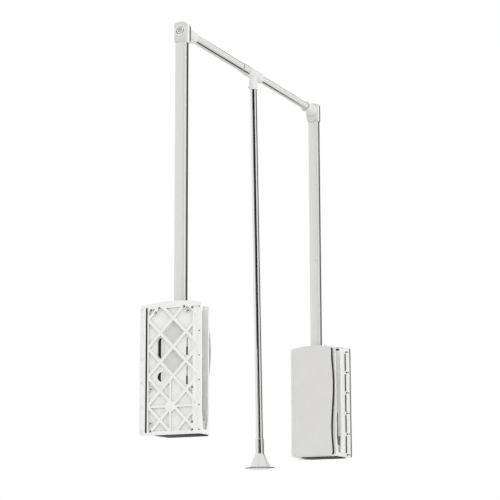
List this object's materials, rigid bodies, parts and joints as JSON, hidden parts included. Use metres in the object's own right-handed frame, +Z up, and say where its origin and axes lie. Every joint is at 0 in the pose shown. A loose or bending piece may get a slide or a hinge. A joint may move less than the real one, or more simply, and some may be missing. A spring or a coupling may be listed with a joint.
{
  "type": "pull down closet rod",
  "caption": "Wardrobe lift: two wall-mounted spring housings swing a telescopic hanging bar forwards and down on arms, drawn by a hanging pull rod with a bell grip.",
  "frame": {"origin": "pivot axis of the arms, on the mounting face of the left wall plate", "axes": "+X from the left wall to the right wall, +Y towards the back of the wardrobe, +Z up; the user stands on the -Y side"},
  "size_m": [0.75, 0.137, 0.8919],
  "materials": {
    "white_housing": "fine satin moulding, white",
    "grey_cover": "smooth satin moulding, light warm grey",
    "white_fitting": "smooth moulding, off-white",
    "chrome_tube": "bright chrome-plated tube",
    "arm_steel": "satin silver tube",
    "machined_steel": "turned and milled steel",
    "screw_steel": "zinc-plated screws",
    "spring_steel": "drawn spring wire",
    "dark_polymer": "glass-filled black polymer",
    "bush_polymer": "plain bearing polymer",
    "stop_rubber": "matt light grey rubber"
  },
  "bodies": {
    "left_housing": {"left_wall_plate": "white_housing", "left_base_shell": "white_housing", "left_cover": "grey_cover", "left_case_screws": "screw_steel", "left_upper_stop": "stop_rubber", "left_lower_stop": "stop_rubber", "left_axle_bushes": "bush_polymer", "left_rack_guide": "bush_polymer", "left_spring_anchor": "machined_steel", "left_damper_body": "machined_steel", "left_return_springs": "spring_steel"},
    "right_housing": {"right_wall_plate": "white_housing", "right_base_shell": "white_housing", "right_cover": "grey_cover", "right_case_screws": "screw_steel", "right_upper_stop": "stop_rubber", "right_lower_stop": "stop_rubber", "right_axle_bushes": "bush_polymer", "right_rack_guide": "bush_polymer", "right_spring_anchor": "machined_steel", "right_damper_body": "machined_steel", "right_return_springs": "spring_steel"},
    "left_arm": {"left_pivot_axle": "machined_steel", "left_axle_rings": "screw_steel", "left_pinion": "machined_steel", "left_arm_tube": "arm_steel", "left_arm_foot": "dark_polymer", "left_foot_screws": "screw_steel", "left_arm_cap": "white_fitting", "left_cap_screw": "screw_steel", "left_bar_socket": "white_fitting", "left_bar_plug": "dark_polymer", "outer_bar": "chrome_tube", "stop_collar": "chrome_tube"},
    "right_arm": {"right_pivot_axle": "machined_steel", "right_axle_rings": "screw_steel", "right_pinion": "machined_steel", "right_arm_tube": "arm_steel", "right_arm_foot": "dark_polymer", "right_foot_screws": "screw_steel", "right_arm_cap": "white_fitting", "right_cap_screw": "screw_steel", "right_bar_socket": "white_fitting", "right_bar_plug": "dark_polymer", "inner_bar": "chrome_tube"},
    "left_lifter": {"left_rack": "machined_steel", "left_crosshead": "machined_steel", "left_damper_rod": "machined_steel"},
    "right_lifter": {"right_rack": "machined_steel", "right_crosshead": "machined_steel", "right_damper_rod": "machined_steel"},
    "hanging_rod": {"tee_fitting": "white_fitting", "tee_screw": "screw_steel", "pull_rod": "chrome_tube", "rod_plug": "dark_polymer", "pull_bell": "chrome_tube", "bell_disc": "white_fitting", "bell_screw": "screw_steel"}
  },
  "joints": [
    {"name": "lift_left", "type": "hinge", "parent": "left_housing", "child": "left_arm", "pos_m": [0, 0, 0], "axis": [1, 0, 0], "range_deg": [0, 105], "stiffness_Nm_per_rad": 4, "springref_deg": -34.38},
    {"name": "width_slide", "type": "slide", "parent": "left_housing", "child": "right_housing", "axis": [1, 0, 0], "range_m": [-0.09, 0.13]},
    {"name": "lift_right", "type": "hinge", "parent": "right_housing", "child": "right_arm", "pos_m": [0.75, 0, 0], "axis": [1, 0, 0], "range_deg": [0, 105], "stiffness_Nm_per_rad": 4, "springref_deg": -34.38},
    {"name": "rod_swivel", "type": "hinge", "parent": "left_arm", "child": "hanging_rod", "pos_m": [0.375, 0, 0.7745], "axis": [1, 0, 0], "range_deg": [-130, 40]},
    {"name": "left_rack_slide", "type": "slide", "parent": "left_housing", "child": "left_lifter", "axis": [0, 0, 1], "range_m": [0, 0.034], "deforming": ["left_return_springs"]},
    {"name": "right_rack_slide", "type": "slide", "parent": "right_housing", "child": "right_lifter", "axis": [0, 0, 1], "range_m": [0, 0.034], "deforming": ["right_return_springs"]}
  ],
  "couplings": [
    {"joint": "lift_right", "follows": "lift_left", "ratio": 1},
    {"joint": "left_rack_slide", "follows": "lift_left", "m_per_rad": 0.018},
    {"joint": "right_rack_slide", "follows": "lift_left", "m_per_rad": 0.018}
  ]
}
